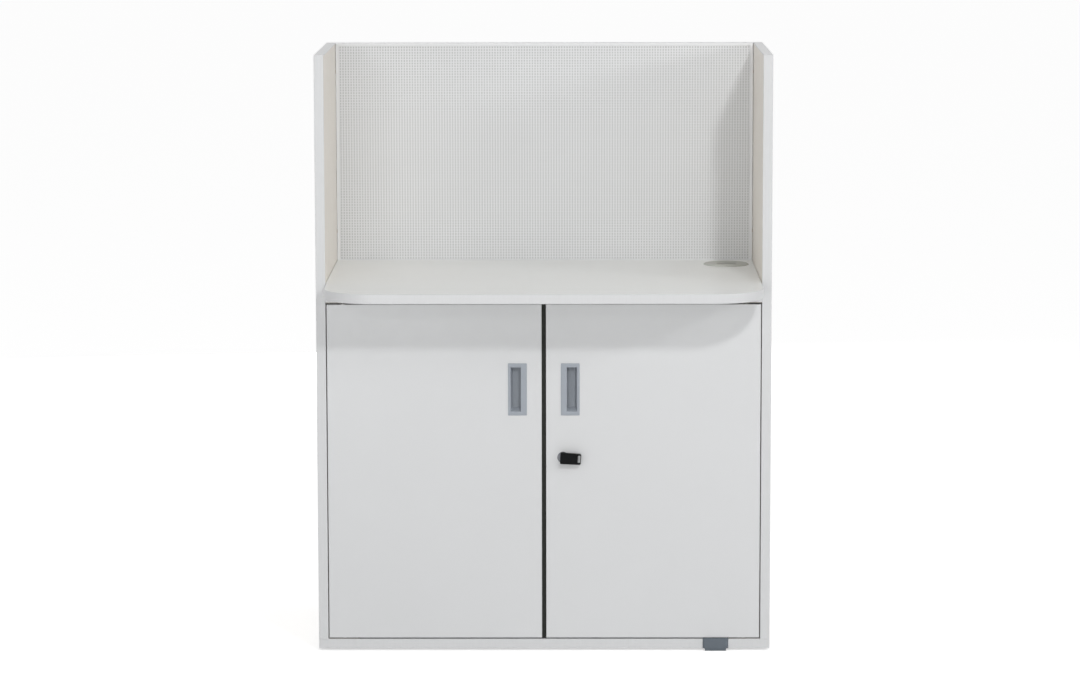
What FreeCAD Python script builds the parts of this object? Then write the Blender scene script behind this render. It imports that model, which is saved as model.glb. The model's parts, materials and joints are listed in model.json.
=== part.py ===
import FreeCAD, Part
import Sketcher
import os
import re

# Desk-height office credenza: a two-door cupboard with a worktop that overhangs its doors, high
# side panels and a perforated screen at the back. Millimetres. X is the width, -Y the front,
# +Z up. The origin is on the floor, under the middle of the overall depth and width.

os.makedirs("parts", exist_ok=True)
doc = FreeCAD.newDocument("credenza")

SIZES = {
    # carcass
    "overall_width": 900,
    "overall_height": 1190,
    "side_depth": 420,
    "side_thickness": 19,
    "base_thickness": 19,
    "subtop_thickness": 19,
    "foot_height": 5,
    "band": 2,
    "arris": 0.8,
    # worktop
    "worktop_height": 740,
    "worktop_thickness": 19,
    "worktop_overhang": 180,
    "worktop_corner": 100,
    "worktop_arris": 1.5,
    # back panel in its grooves
    "back_thickness": 8,
    "back_setback": 12,
    "groove_depth": 8,
    "groove_clearance": 0.2,
    # screen
    "screen_depth": 25,
    "screen_border": 6,
    "screen_sill": 1.5,
    "screen_side_gap": 1,
    "screen_lip": 1,
    "sheet_thickness": 1.2,
    "sheet_clearance": 0.3,
    # doors
    "door_thickness": 19,
    "side_gap": 1.8,
    "bottom_gap": 2.5,
    "top_gap": 4.5,
    "meeting_gap": 8.5,
    "swing_clearance": 0.4,
    # door pivots
    "pin_radius": 3,
    "pin_engagement": 10,
    "running_clearance": 0.05,
    "bush_wall": 2,
    "bush_length": 12,
    "bush_flange_radius": 7,
    "bush_flange": 0.8,
    "lower_plate": 1.5,
    "upper_plate": 2,
    "plate_reach": 28,
    "plate_side_clearance": 0.5,
    "plate_edge": 1,
    "plate_screw_offset": 16,
    "plate_screw_radius": 1.75,
    "plate_screw_head": 3.2,
    "plate_screw_head_height": 1.2,
    "plate_screw_length": 14,
    # seal between the doors
    "seal_setback": 3,
    "seal_depth": 12,
    "seal_clearance": 1.2,
    # flush pulls
    "pull_x": 52.3,
    "pull_height": 528,
    "pull_width": 37,
    "pull_length": 104,
    "pull_plate": 1.5,
    "recess_width": 20,
    "recess_length": 88,
    "recess_depth": 14,
    "pull_margin": 5.1,
    "pull_undercut": 7,
    "pull_wall": 1.5,
    "fit_clearance": 0.2,
    # cam lock
    "lock_x": 37.8,
    "lock_height": 391.6,
    "key_tilt": 3.4,
    "rosette_radius": 11.3,
    "rosette_thickness": 2,
    "barrel_radius": 9,
    "barrel_length": 25,
    "plug_radius": 6,
    "plug_proud": 0.4,
    "nut_radius": 13.9,
    "nut_thickness": 5,
    "cam_reach": 58,
    "cam_width": 16,
    "cam_thickness": 2,
    "cam_corner": 5,
    "cam_screw_radius": 2,
    "cam_screw_length": 8,
    "cam_screw_head": 4.5,
    "cam_screw_head_height": 2,
    "keeper_width": 14,
    "keeper_height": 30,
    "keeper_clearance": 0.4,
    "keeper_edge": 6,
    # folding key
    "blade_thickness": 2,
    "blade_width": 8,
    "blade_length": 18,
    "key_standoff": 0.6,
    "neck_width": 10,
    "neck_length": 9,
    "eye_radius": 2.4,
    "key_pin_radius": 1,
    "pin_in_head": 3,
    "head_end": 5.5,
    "head_length": 41.2,
    "head_width": 22.4,
    "head_thickness": 7.4,
    "head_corner": 1.5,
    "notch_clearance": 0.3,
    "ring_slot_width": 5,
    "ring_slot_length": 16,
    "ring_slot_edge": 1.4,
    # shutting bolt on the left door
    "bolt_x": 30,
    "bolt_radius": 3,
    "bolt_travel": 12,
    "bolt_socket_clearance": 2,
    "bolt_housing_width": 18,
    "bolt_housing_depth": 11,
    "bolt_housing_length": 50,
    "bolt_housing_drop": 12,
    "bolt_tip_drop": 1,
    "bolt_knob_radius": 4,
    "bolt_knob_length": 12,
    "bolt_knob_gap": 2,
    # magnetic catches
    "catch_x": 90,
    "catch_width": 40,
    "catch_depth": 20,
    "catch_height": 14,
    "catch_gap": 0.3,
    "strike_width": 36,
    "strike_height": 16,
    "strike_thickness": 1.5,
    "strike_drop": 1,
    # shelf
    "shelf_thickness": 19,
    "shelf_swing_gap": 5,
    "shelf_side_gap": 1,
    "shelf_back_gap": 2,
    "shelf_hole": 5,
    # shelf holes and pins
    "hole_radius": 2.5,
    "hole_depth": 12,
    "hole_pitch": 32,
    "hole_count": 12,
    "hole_first": 160,
    "hole_margin": 70,
    "shelf_pin_clearance": 0.05,
    "shelf_pin_length": 10,
    "shelf_pin_seat": 5,
    "shelf_pin_reach": 9,
    "shelf_pin_width": 12,
    # grommet in the worktop
    "grommet_from_side": 58,
    "grommet_from_back": 104,
    "grommet_radius": 46.5,
    "grommet_flange": 2.5,
    "grommet_rim": 0.8,
    "sleeve_radius": 40,
    "sleeve_wall": 2.5,
    "sleeve_length": 15,
    "sleeve_clearance": 0.3,
    "cap_thickness": 2.5,
    "cap_seat": 2.5,
    "cap_clearance": 0.3,
    "cap_skirt": 6,
    "cap_skirt_wall": 1.5,
    "cable_slot_width": 41,
    "cable_slot_depth": 18,
    "cable_slot_corner": 4.5,
    # feet
    "clip_from_side": 108,
    "clip_width": 51,
    "clip_thickness": 4,
    "clip_bevel": 3,
    "clip_lip": 1.5,
    "clip_lip_depth": 16,
    "clip_foot_width": 42,
    "clip_foot_depth": 34,
    "clip_foot_setback": 3,
    "sole_thickness": 2,
    "glide_radius": 20,
    "glide_margin": 50,
    # carcass fixings
    "base_screw_count": 4,
    "base_screw_margin": 45,
    "base_screw_radius": 2.5,
    "base_screw_length": 50,
    "base_screw_head": 5,
    "base_screw_head_height": 3.5,
    "dowel_count": 3,
    "dowel_margin": 60,
    "dowel_back_margin": 20,
    "dowel_radius": 4,
    "dowel_in_side": 12,
    "dowel_in_board": 22,
    "fitting_margin": 105,
    "fitting_back_margin": 140,
    "fitting_reach": 34,
    "fitting_radius": 7.5,
    "fitting_height": 14,
    "fitting_bolt_radius": 3.5,
    "screen_dowel_margin": 60,
    "screen_dowel_in_frame": 5,
    "top_screw_from_side": 131,
    "top_screw_margin": 60,
    "top_screw_radius": 2,
    "top_screw_length": 30,
    "top_screw_head": 4,
    "top_screw_head_height": 2.5,
    "drill_clearance": 0.05,
    "drill_spare": 0.5,
    "overcut": 1,
}

# Places and lengths that follow from the sizes above.
PLACES = {
    "front": "(worktop_overhang - side_depth) / 2",
    "back": "front + side_depth",
    "top_front": "front - worktop_overhang",
    "half_width": "overall_width / 2",
    "inner_half": "half_width - side_thickness",
    "base_top": "foot_height + base_thickness",
    "worktop_under": "worktop_height - worktop_thickness",
    "subtop_under": "worktop_under - subtop_thickness",
    "door_low": "base_top + bottom_gap",
    "door_high": "subtop_under - top_gap",
    "door_near": "meeting_gap / 2",
    "door_far": "inner_half - side_gap",
    "door_back": "front + door_thickness",
    "pivot_room": "side_gap - swing_clearance",
    "pivot_inset": "((door_thickness / 2) ^ 2 - pivot_room ^ 2) / (2 * pivot_room)",
    "pivot_x": "door_far - pivot_inset",
    "pivot_y": "front + door_thickness / 2",
    "bush_radius": "pin_radius + running_clearance + bush_wall",
    "back_panel_rear": "back - back_setback",
    "back_panel_front": "back_panel_rear - back_thickness",
    "screen_front": "back - screen_depth",
    "screen_half": "inner_half - screen_side_gap",
    "sheet_half": "screen_half - screen_border - sheet_clearance",
    "sheet_low": "worktop_height + screen_sill + sheet_clearance",
    "sheet_high": "overall_height - screen_border - sheet_clearance",
    "sheet_front": "screen_front + screen_lip",
    "cover_rear": "back - screen_lip",
    "pin_hole_low": "base_top + hole_first",
    "pin_row_front": "front + hole_margin",
    "pin_row_back": "back_panel_front - hole_margin",
    "shelf_pin_height": "pin_hole_low + shelf_hole * hole_pitch",
    "shelf_under": "shelf_pin_height + shelf_pin_seat",
    # the hinge edge's corners turn on this radius about the pivot
    "door_swing": "pivot_inset + pivot_room",
    "shelf_front": "pivot_y + door_swing + shelf_swing_gap",
    "shelf_back": "back_panel_front - shelf_back_gap",
    "shelf_half": "inner_half - shelf_side_gap",
    "grommet_x": "inner_half - grommet_from_side",
    "grommet_y": "back - grommet_from_back",
    "sleeve_bore": "sleeve_radius - sleeve_wall",
    "cap_radius": "sleeve_bore - cap_clearance",
    "cap_under": "worktop_height + grommet_flange - cap_thickness",
    "ledge_bore": "sleeve_bore - cap_seat",
    "skirt_radius": "ledge_bore - cap_clearance",
    "key_pin_y": "-(rosette_thickness + plug_proud + key_standoff + neck_length)",
    "bolt_y": "door_back + bolt_housing_depth / 2",
    "bolt_housing_top": "door_high - bolt_housing_drop",
    "bolt_housing_base": "bolt_housing_top - bolt_housing_length",
    "bolt_knob_z": "bolt_housing_base - bolt_travel - bolt_knob_radius - bolt_knob_gap",
    "keeper_near": "door_near + keeper_edge",
    "cam_front": "barrel_length + plug_proud",
    "dowel_z": "subtop_under + subtop_thickness / 2",
    "top_screw_x": "inner_half - top_screw_from_side",
    "clip_x": "half_width - clip_from_side",
}

SIDES = (("left", -1), ("right", 1))
ENDS = ("low", "high")
NODES = []
TOLERANCE = 1e-4

sheet = doc.addObject("Spreadsheet::Sheet", "Sizes")
for row, (alias, size) in enumerate(SIZES.items(), start=1):
    sheet.set(f"A{row}", alias)
    sheet.set(f"B{row}", str(size))
    sheet.setAlias(f"B{row}", alias)
doc.recompute()


# ---- expressions ----

def formula(text):
    """Open out the derived places and put the sheet's name before each size."""

    def swap(word):
        name = word.group(0)
        if name in PLACES:
            return "(" + formula(PLACES[name]) + ")"
        return "Sizes." + name if name in SIZES else name

    return re.sub(r"[A-Za-z_]\w*", swap, str(text))


def value(text):
    return float(sheet.evalExpression(formula(text)))


def bind(item, prop, text):
    item.setExpression(prop, formula(text))


def place(item, x, y, z):
    for axis, text in zip("xyz", (x, y, z)):
        bind(item, f"Placement.Base.{axis}", text)
    return item


def mirrored(sign, low, high):
    """The span from low to high on the right, or its mirror image on the left."""
    return (low, high) if sign > 0 else (f"-({high})", f"-({low})")


def node(item, label):
    item.Label = label
    NODES.append(item)
    return item


# ---- Part primitives and booleans ----

def box(name, x, y, z):
    """A block between the low and high places of each axis."""
    item = doc.addObject("Part::Box", name)
    for prop, axis, (low, high) in zip(("Length", "Width", "Height"), "xyz", (x, y, z)):
        bind(item, prop, f"({high}) - ({low})")
        bind(item, f"Placement.Base.{axis}", low)
    return item


TURNS = {
    "x": FreeCAD.Rotation(FreeCAD.Vector(0, 1, 0), 90),
    "y": FreeCAD.Rotation(FreeCAD.Vector(1, 0, 0), -90),
    "z": FreeCAD.Rotation(),
}


def rod(name, axis, radius, span, centre):
    """A cylinder along an axis, from span's low place to its high one."""
    item = doc.addObject("Part::Cylinder", name)
    item.Placement = FreeCAD.Placement(FreeCAD.Vector(), TURNS[axis])
    bind(item, "Radius", radius)
    bind(item, "Height", f"({span[1]}) - ({span[0]})")
    spot = list(centre)
    spot.insert("xyz".index(axis), span[0])
    return place(item, *spot)


def fused(name, *pieces):
    item = doc.addObject("Part::MultiFuse", name)
    item.Shapes = list(pieces)
    item.Refine = True
    return item


def group(name, pieces):
    item = doc.addObject("Part::Compound", name)
    item.Links = list(pieces)
    return item


def cut(name, base, *tools):
    item = doc.addObject("Part::Cut", name)
    item.Base = base
    item.Tool = tools[0] if len(tools) == 1 else group(name + "_tools", tools)
    return item


# ---- PartDesign bodies ----

def sketch(body, name, role, offset=None):
    """A drawing on one of the body's own origin planes, or that far in front of it."""
    plane = next(item for item in body.Origin.OriginFeatures if item.Role == role)
    drawing = body.newObject("Sketcher::SketchObject", name)
    drawing.AttachmentSupport = [(plane, "")]
    drawing.MapMode = "FlatFace"
    if offset is not None:
        bind(drawing, "AttachmentOffset.Base.z", offset)
    return drawing


def pin_point(drawing, geometry, end, across, up):
    """Hold a point of the drawing at two distances from the drawing's origin."""
    for kind, text, axis in (("DistanceX", across, -2), ("DistanceY", up, -1)):
        size = value(text)
        if abs(size) < TOLERANCE:
            drawing.addConstraint(Sketcher.Constraint("PointOnObject", geometry, end, axis))
        elif size > 0:
            index = drawing.addConstraint(Sketcher.Constraint(kind, -1, 1, geometry, end, size))
            bind(drawing, f"Constraints[{index}]", text)
        else:
            index = drawing.addConstraint(Sketcher.Constraint(kind, geometry, end, -1, 1, -size))
            bind(drawing, f"Constraints[{index}]", f"-({text})")


def outline(drawing, corners):
    """A closed run of straight lines through the corners."""
    spots = [FreeCAD.Vector(value(across), value(up), 0) for across, up in corners]
    first = drawing.GeometryCount
    count = len(spots)
    for index in range(count):
        line = Part.LineSegment(spots[index], spots[(index + 1) % count])
        drawing.addGeometry(line, False)
    for index in range(count):
        following = first + (index + 1) % count
        joint = Sketcher.Constraint("Coincident", first + index, 2, following, 1)
        drawing.addConstraint(joint)
    for index, (across, up) in enumerate(corners):
        pin_point(drawing, first + index, 1, across, up)


def rectangle(drawing, x, y):
    corners = [(x[0], y[0]), (x[1], y[0]), (x[1], y[1]), (x[0], y[1])]
    outline(drawing, corners)


def disc(drawing, across, up, radius):
    centre = FreeCAD.Vector(value(across), value(up), 0)
    circle = Part.Circle(centre, FreeCAD.Vector(0, 0, 1), value(radius))
    index = drawing.addGeometry(circle, False)
    pin_point(drawing, index, 3, across, up)
    size = drawing.addConstraint(Sketcher.Constraint("Radius", index, value(radius)))
    bind(drawing, f"Constraints[{size}]", radius)


def pad(body, drawing, length, backwards=False):
    feature = body.newObject("PartDesign::Pad", drawing.Name + "_pad")
    feature.Profile = drawing
    bind(feature, "Length", length)
    feature.Reversed = backwards
    return feature


def pocket(body, drawing, depth, backwards=False):
    feature = body.newObject("PartDesign::Pocket", drawing.Name + "_pocket")
    feature.Profile = drawing
    bind(feature, "Length", depth)
    feature.Reversed = backwards
    return feature


def dress(body, feature, kind, prop, size, chosen):
    """A fillet or chamfer on each edge of the feature that the test picks."""
    doc.recompute()
    names = [
        f"Edge{number}"
        for number, edge in enumerate(feature.Shape.Edges, start=1)
        if chosen(edge)
    ]
    dressed = body.newObject("PartDesign::" + kind, feature.Name + "_" + kind.lower())
    dressed.Base = (feature, names)
    bind(dressed, prop, size)
    return dressed


def runs_along(edge, axis):
    """True for a straight edge along the x, y or z axis."""
    spread = edge.BoundBox
    lengths = {"x": spread.XLength, "y": spread.YLength, "z": spread.ZLength}
    return all((lengths[name] > TOLERANCE) == (name == axis) for name in "xyz")


def lies_at(edge, **places):
    """True where the middle of the edge has the given x, y or z."""
    middle = edge.BoundBox.Center
    return all(abs(getattr(middle, axis) - at) < TOLERANCE for axis, at in places.items())


def all_in_plane(edge, axis, place_at):
    spread = edge.BoundBox
    low = getattr(spread, axis.upper() + "Min")
    high = getattr(spread, axis.upper() + "Max")
    return abs(low - place_at) < TOLERANCE and abs(high - place_at) < TOLERANCE


def turned(body, drawing):
    """A full turn of the drawing about its upright axis."""
    feature = body.newObject("PartDesign::Revolution", drawing.Name + "_turned")
    feature.Profile = drawing
    feature.ReferenceAxis = (drawing, ["V_Axis"])
    return feature


# ---- positions of fixings, used by the fixings and by the holes for them ----

def spread_out(low, high, index, count):
    """The place of one of count copies spaced evenly from low to high."""
    return f"({low}) + (({high}) - ({low})) * {index} / ({count} - 1)"


def rows(count):
    return range(int(SIZES[count]))


def base_screw_spots(sign):
    x = f"{sign} * (half_width - side_thickness / 2)"
    low = "front + base_screw_margin"
    high = "back - base_screw_margin"
    return [(x, spread_out(low, high, n, "base_screw_count")) for n in rows("base_screw_count")]


def dowel_spots():
    low = "front + dowel_margin"
    high = "back_panel_front - dowel_back_margin"
    return [spread_out(low, high, n, "dowel_count") for n in rows("dowel_count")]


def fitting_spots():
    return ["front + fitting_margin", "back_panel_front - fitting_back_margin"]


def screen_dowel_heights():
    return ["worktop_height + screen_dowel_margin", "overall_height - screen_dowel_margin"]


def top_screw_spots():
    depths = ("front + top_screw_margin", "back_panel_front - top_screw_margin")
    return [(f"{n} * top_screw_x", y) for n in (-1, 0, 1) for y in depths]


def hole_spare(play):
    """Holes are drilled a little deeper than what goes into them."""
    return "0" if play == "0" else "drill_spare"


def dowel(name, sign, y, z, inboard, play="0"):
    """A dowel across the face between a side panel and what it holds."""
    low = f"inner_half - {inboard} - {hole_spare(play)}"
    high = f"inner_half + dowel_in_side + {hole_spare(play)}"
    return rod(name, "x", f"dowel_radius + {play}", mirrored(sign, low, high), (y, z))


def fitting_bolt(name, sign, y, play="0"):
    """The bolt between a side panel and a connector; its hole runs on into the connector's."""
    low = "inner_half - fitting_reach"
    if play == "0":
        low = "inner_half - fitting_reach + fitting_radius + drill_spare"
    high = f"inner_half + dowel_in_side + {hole_spare(play)}"
    radius = f"fitting_bolt_radius + {play}"
    return rod(name, "x", radius, mirrored(sign, low, high), (y, "dowel_z"))


def screw(name, spot, seat, up, sizes, play="0"):
    """A screw along Z with its head sunk in the face at seat; up is its direction."""
    radius, length, head, head_height = sizes
    if up > 0:
        neck = f"{seat} + {head_height}"
        head_span = (seat, f"{neck} + {play}")
        shank_span = (neck, f"{seat} + {length} + {play}")
    else:
        neck = f"{seat} - {head_height}"
        head_span = (f"{neck} - {play}", seat)
        shank_span = (f"{seat} - {length} - {play}", neck)
    top = rod(name + "_head", "z", f"{head} + {play}", head_span, spot)
    shank = rod(name + "_shank", "z", f"{radius} + {play}", shank_span, spot)
    return fused(name, top, shank)


BASE_SCREW = ("base_screw_radius", "base_screw_length", "base_screw_head", "base_screw_head_height")
TOP_SCREW = ("top_screw_radius", "top_screw_length", "top_screw_head", "top_screw_head_height")
PLATE_SCREW = (
    "plate_screw_radius",
    "plate_screw_length",
    "plate_screw_head",
    "plate_screw_head_height",
)


# ---- base panel ----

def base_drills():
    tools = []
    for side, sign in SIDES:
        for number, spot in enumerate(base_screw_spots(sign)):
            name = f"base_drill_{side}_{number}"
            tools.append(screw(name, spot, "foot_height", 1, BASE_SCREW, "drill_clearance"))
        for number, spot in enumerate(plate_screw_spots(sign)):
            name = f"base_pilot_{side}_{number}"
            seat = "base_top + lower_plate"
            tools.append(screw(name, spot, seat, -1, PLATE_SCREW, "drill_clearance"))
    return tools


def plate_screw_spots(sign):
    near = f"{sign} * (pivot_x - plate_screw_offset)"
    far = f"{sign} * (pivot_x + plate_screw_offset)"
    return [(near, "pivot_y"), (far, "pivot_y")]


x_span = ("band - half_width", "half_width - band")
base = box("base_board", x_span, ("front + band", "back - band"), ("foot_height", "base_top"))
node(cut("base_drilled", base, *base_drills()), "base_panel")

body = doc.addObject("PartDesign::Body", "base_band")
drawing = sketch(body, "base_band_outline", "XY_Plane")
rectangle(drawing, ("-half_width", "half_width"), ("front", "back"))
rectangle(drawing, x_span, ("front + band", "back - band"))
strip = pad(body, drawing, "base_thickness")
face_y = value("front")
dress(
    body,
    strip,
    "Fillet",
    "Radius",
    "arris",
    lambda edge: all_in_plane(edge, "y", face_y) and runs_along(edge, "x"),
)
place(body, "0", "0", "foot_height")
node(body, "base_edge_band")


# ---- side panels ----

def side_panel(side, sign):
    """A board with shelf holes and a groove for the back panel on its inner face."""
    body = doc.addObject("PartDesign::Body", f"side_{side}")
    drawing = sketch(body, f"side_{side}_outline", "YZ_Plane")
    depth = ("front + band", "back - band")
    rectangle(drawing, depth, ("base_top", "overall_height - band"))
    pad(body, drawing, "side_thickness")
    inward = "side_thickness" if sign < 0 else "0"

    groove = sketch(body, f"side_{side}_groove", "YZ_Plane", inward)
    width = ("back_panel_front - groove_clearance", "back_panel_rear + groove_clearance")
    rectangle(groove, width, ("base_top", "subtop_under"))
    pocket(body, groove, "groove_depth", sign > 0)

    holes = sketch(body, f"side_{side}_holes", "YZ_Plane", inward)
    for row in ("pin_row_front", "pin_row_back"):
        disc(holes, row, "pin_hole_low", "hole_radius")
    first = pocket(body, holes, "hole_depth", sign > 0)
    ladder = body.newObject("PartDesign::LinearPattern", f"side_{side}_ladder")
    ladder.Originals = [first]
    ladder.Direction = (holes, ["V_Axis"])
    bind(ladder, "Length", "(hole_count - 1) * hole_pitch")
    bind(ladder, "Occurrences", "hole_count")
    body.Tip = ladder
    place(body, mirrored(sign, "inner_half", "half_width")[0], "0", "0")

    tools = []
    for number, spot in enumerate(base_screw_spots(sign)):
        name = f"side_{side}_drill_{number}"
        tools.append(screw(name, spot, "foot_height", 1, BASE_SCREW, "drill_clearance"))
    for number, y in enumerate(dowel_spots()):
        name = f"side_{side}_dowel_hole_{number}"
        tools.append(dowel(name, sign, y, "dowel_z", "dowel_in_board", "drill_clearance"))
    for number, y in enumerate(fitting_spots()):
        tools.append(fitting_bolt(f"side_{side}_bolt_hole_{number}", sign, y, "drill_clearance"))
    for number, z in enumerate(screen_dowel_heights()):
        name = f"side_{side}_screen_hole_{number}"
        y = "back - screen_depth / 2"
        tools.append(dowel(name, sign, y, z, "screen_dowel_in_frame", "drill_clearance"))
    node(cut(f"side_{side}_drilled", body, *tools), f"side_panel_{side}")


def side_band(side, sign):
    """The edging on the front, top and back edges of a side panel."""
    body = doc.addObject("PartDesign::Body", f"side_band_{side}")
    drawing = sketch(body, f"side_band_{side}_outline", "YZ_Plane")
    corners = [
        ("front", "base_top"),
        ("front", "overall_height"),
        ("back", "overall_height"),
        ("back", "base_top"),
        ("back - band", "base_top"),
        ("back - band", "overall_height - band"),
        ("front + band", "overall_height - band"),
        ("front + band", "base_top"),
    ]
    outline(drawing, corners)
    strip = pad(body, drawing, "side_thickness")
    front_y = value("front")
    top_z = value("overall_height")

    def outer_arris(edge):
        on_front = all_in_plane(edge, "y", front_y) and runs_along(edge, "z")
        on_top = all_in_plane(edge, "z", top_z) and runs_along(edge, "y")
        return on_front or on_top

    dress(body, strip, "Fillet", "Radius", "arris", outer_arris)
    place(body, mirrored(sign, "inner_half", "half_width")[0], "0", "0")
    node(body, f"side_edge_band_{side}")


for side, sign in SIDES:
    side_panel(side, sign)
    side_band(side, sign)

pieces = []
for side, sign in SIDES:
    for number, spot in enumerate(base_screw_spots(sign)):
        pieces.append(screw(f"base_screw_{side}_{number}", spot, "foot_height", 1, BASE_SCREW))
node(group("base_screws_all", pieces), "base_screws")


# ---- back panel ----

half = "(inner_half + groove_depth - groove_clearance)"
y_span = ("back_panel_front", "back_panel_rear")
back = box("back_board", (f"-{half}", half), y_span, ("base_top", "subtop_under"))
node(back, "back_panel")


# ---- sub-top under the worktop ----

def subtop_tools():
    through = ("subtop_under - overcut", "worktop_under + overcut")
    spot = ("grommet_x", "grommet_y")
    tools = [rod("subtop_cable_hole", "z", "sleeve_radius", through, spot)]
    for number, spot in enumerate(top_screw_spots()):
        name = f"subtop_drill_{number}"
        tools.append(screw(name, spot, "subtop_under", 1, TOP_SCREW, "drill_clearance"))
    for side, sign in SIDES:
        for number, spot in enumerate(plate_screw_spots(sign)):
            name = f"subtop_pilot_{side}_{number}"
            seat = "subtop_under - upper_plate"
            tools.append(screw(name, spot, seat, 1, PLATE_SCREW, "drill_clearance"))
        for number, y in enumerate(dowel_spots()):
            name = f"subtop_dowel_hole_{side}_{number}"
            tools.append(dowel(name, sign, y, "dowel_z", "dowel_in_board", "drill_clearance"))
        for number, y in enumerate(fitting_spots()):
            tag = f"{side}_{number}"
            tools.append(fitting_bolt(f"subtop_bolt_hole_{tag}", sign, y, "drill_clearance"))
            tools.append(fitting(f"subtop_fitting_hole_{tag}", sign, y, "drill_clearance"))
    span = ("subtop_under - overcut", "subtop_under + bolt_travel + drill_spare")
    radius = "bolt_radius + bolt_socket_clearance"
    tools.append(rod("subtop_bolt_socket", "z", radius, span, ("-bolt_x", "bolt_y")))
    return tools


def fitting(name, sign, y, play="0"):
    """The round connector that grips a bolt, let into the underside of the sub-top."""
    x = f"{sign} * (inner_half - fitting_reach)"
    span = ("subtop_under", f"subtop_under + fitting_height + {play}")
    return rod(name, "z", f"fitting_radius + {play}", span, (x, y))


subtop_x = ("-inner_half", "inner_half")
subtop_z = ("subtop_under", "worktop_under")
board = box("subtop_board", subtop_x, ("front + band", "back"), subtop_z)
node(cut("subtop_drilled", board, *subtop_tools()), "sub_top")
strip = box("subtop_band", subtop_x, ("front", "front + band"), subtop_z)
node(strip, "sub_top_edge_band")

dowels = []
bolts = []
fittings = []
for side, sign in SIDES:
    for number, y in enumerate(dowel_spots()):
        dowels.append(dowel(f"dowel_{side}_{number}", sign, y, "dowel_z", "dowel_in_board"))
    for number, y in enumerate(fitting_spots()):
        bolts.append(fitting_bolt(f"fitting_bolt_{side}_{number}", sign, y))
        fittings.append(fitting(f"fitting_{side}_{number}", sign, y))
node(group("dowels_all", dowels), "sub_top_dowels")
node(group("fitting_bolts_all", bolts), "connector_bolts")
node(group("fittings_all", fittings), "connector_housings")


# ---- worktop ----

def worktop_board():
    """The board behind its edging: full width between the sides, rounded in front."""
    body = doc.addObject("PartDesign::Body", "worktop_body")
    drawing = sketch(body, "worktop_outline", "XY_Plane")
    inner_x = "inner_half - band"
    corners = [
        ("-inner_half", "back"),
        ("-inner_half", "front"),
        (f"-({inner_x})", "front"),
        (f"-({inner_x})", "top_front + band"),
        (inner_x, "top_front + band"),
        (inner_x, "front"),
        ("inner_half", "front"),
        ("inner_half", "back"),
    ]
    outline(drawing, corners)
    slab = pad(body, drawing, "worktop_thickness")
    corner_y = value("top_front + band")
    rounded = dress(
        body,
        slab,
        "Fillet",
        "Radius",
        "worktop_corner - band",
        lambda edge: runs_along(edge, "z") and lies_at(edge, y=corner_y),
    )
    hole = sketch(body, "worktop_hole", "XY_Plane", "worktop_thickness")
    disc(hole, "grommet_x", "grommet_y", "sleeve_radius + sleeve_clearance")
    body.Tip = rounded
    pocket(body, hole, "worktop_thickness")
    place(body, "0", "0", "worktop_under")
    tools = [
        screw(f"worktop_pilot_{number}", spot, "subtop_under", 1, TOP_SCREW, "drill_clearance")
        for number, spot in enumerate(top_screw_spots())
    ]
    return cut("worktop_drilled", body, *tools)


def worktop_band():
    """The edging round the part of the worktop that stands in front of the side panels."""
    body = doc.addObject("PartDesign::Body", "worktop_band")
    drawing = sketch(body, "worktop_band_outline", "XY_Plane")
    inner_x = "inner_half - band"
    corners = [
        ("-inner_half", "front"),
        ("-inner_half", "top_front"),
        ("inner_half", "top_front"),
        ("inner_half", "front"),
        (inner_x, "front"),
        (inner_x, "top_front + band"),
        (f"-({inner_x})", "top_front + band"),
        (f"-({inner_x})", "front"),
    ]
    outline(drawing, corners)
    strip = pad(body, drawing, "worktop_thickness")
    outer_y = value("top_front")
    inner_y = value("top_front + band")
    outer = dress(
        body,
        strip,
        "Fillet",
        "Radius",
        "worktop_corner",
        lambda edge: runs_along(edge, "z") and lies_at(edge, y=outer_y),
    )
    inner = dress(
        body,
        outer,
        "Fillet",
        "Radius",
        "worktop_corner - band",
        lambda edge: runs_along(edge, "z") and lies_at(edge, y=inner_y),
    )
    levels = (0, value("worktop_thickness"))

    def front_arris(edge):
        on_level = any(all_in_plane(edge, "z", level) for level in levels)
        return on_level and all_in_plane(edge, "y", outer_y)

    dress(body, inner, "Fillet", "Radius", "worktop_arris", front_arris)
    return place(body, "0", "0", "worktop_under")


node(worktop_board(), "worktop")
node(worktop_band(), "worktop_edge_band")
pieces = [
    screw(f"top_screw_{number}", spot, "subtop_under", 1, TOP_SCREW)
    for number, spot in enumerate(top_screw_spots())
]
node(group("top_screws_all", pieces), "worktop_screws")


# ---- grommet ----

def grommet_ring():
    body = doc.addObject("PartDesign::Body", "grommet_ring_body")
    drawing = sketch(body, "grommet_ring_profile", "XZ_Plane")
    corners = [
        ("ledge_bore", "-sleeve_length"),
        ("sleeve_radius", "-sleeve_length"),
        ("sleeve_radius", "0"),
        ("grommet_radius", "0"),
        ("grommet_radius", "grommet_rim"),
        ("grommet_radius - grommet_flange", "grommet_flange"),
        ("sleeve_bore", "grommet_flange"),
        ("sleeve_bore", "grommet_flange - cap_thickness"),
        ("ledge_bore", "grommet_flange - cap_thickness"),
    ]
    outline(drawing, corners)
    turned(body, drawing)
    return place(body, "grommet_x", "grommet_y", "worktop_height")


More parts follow.
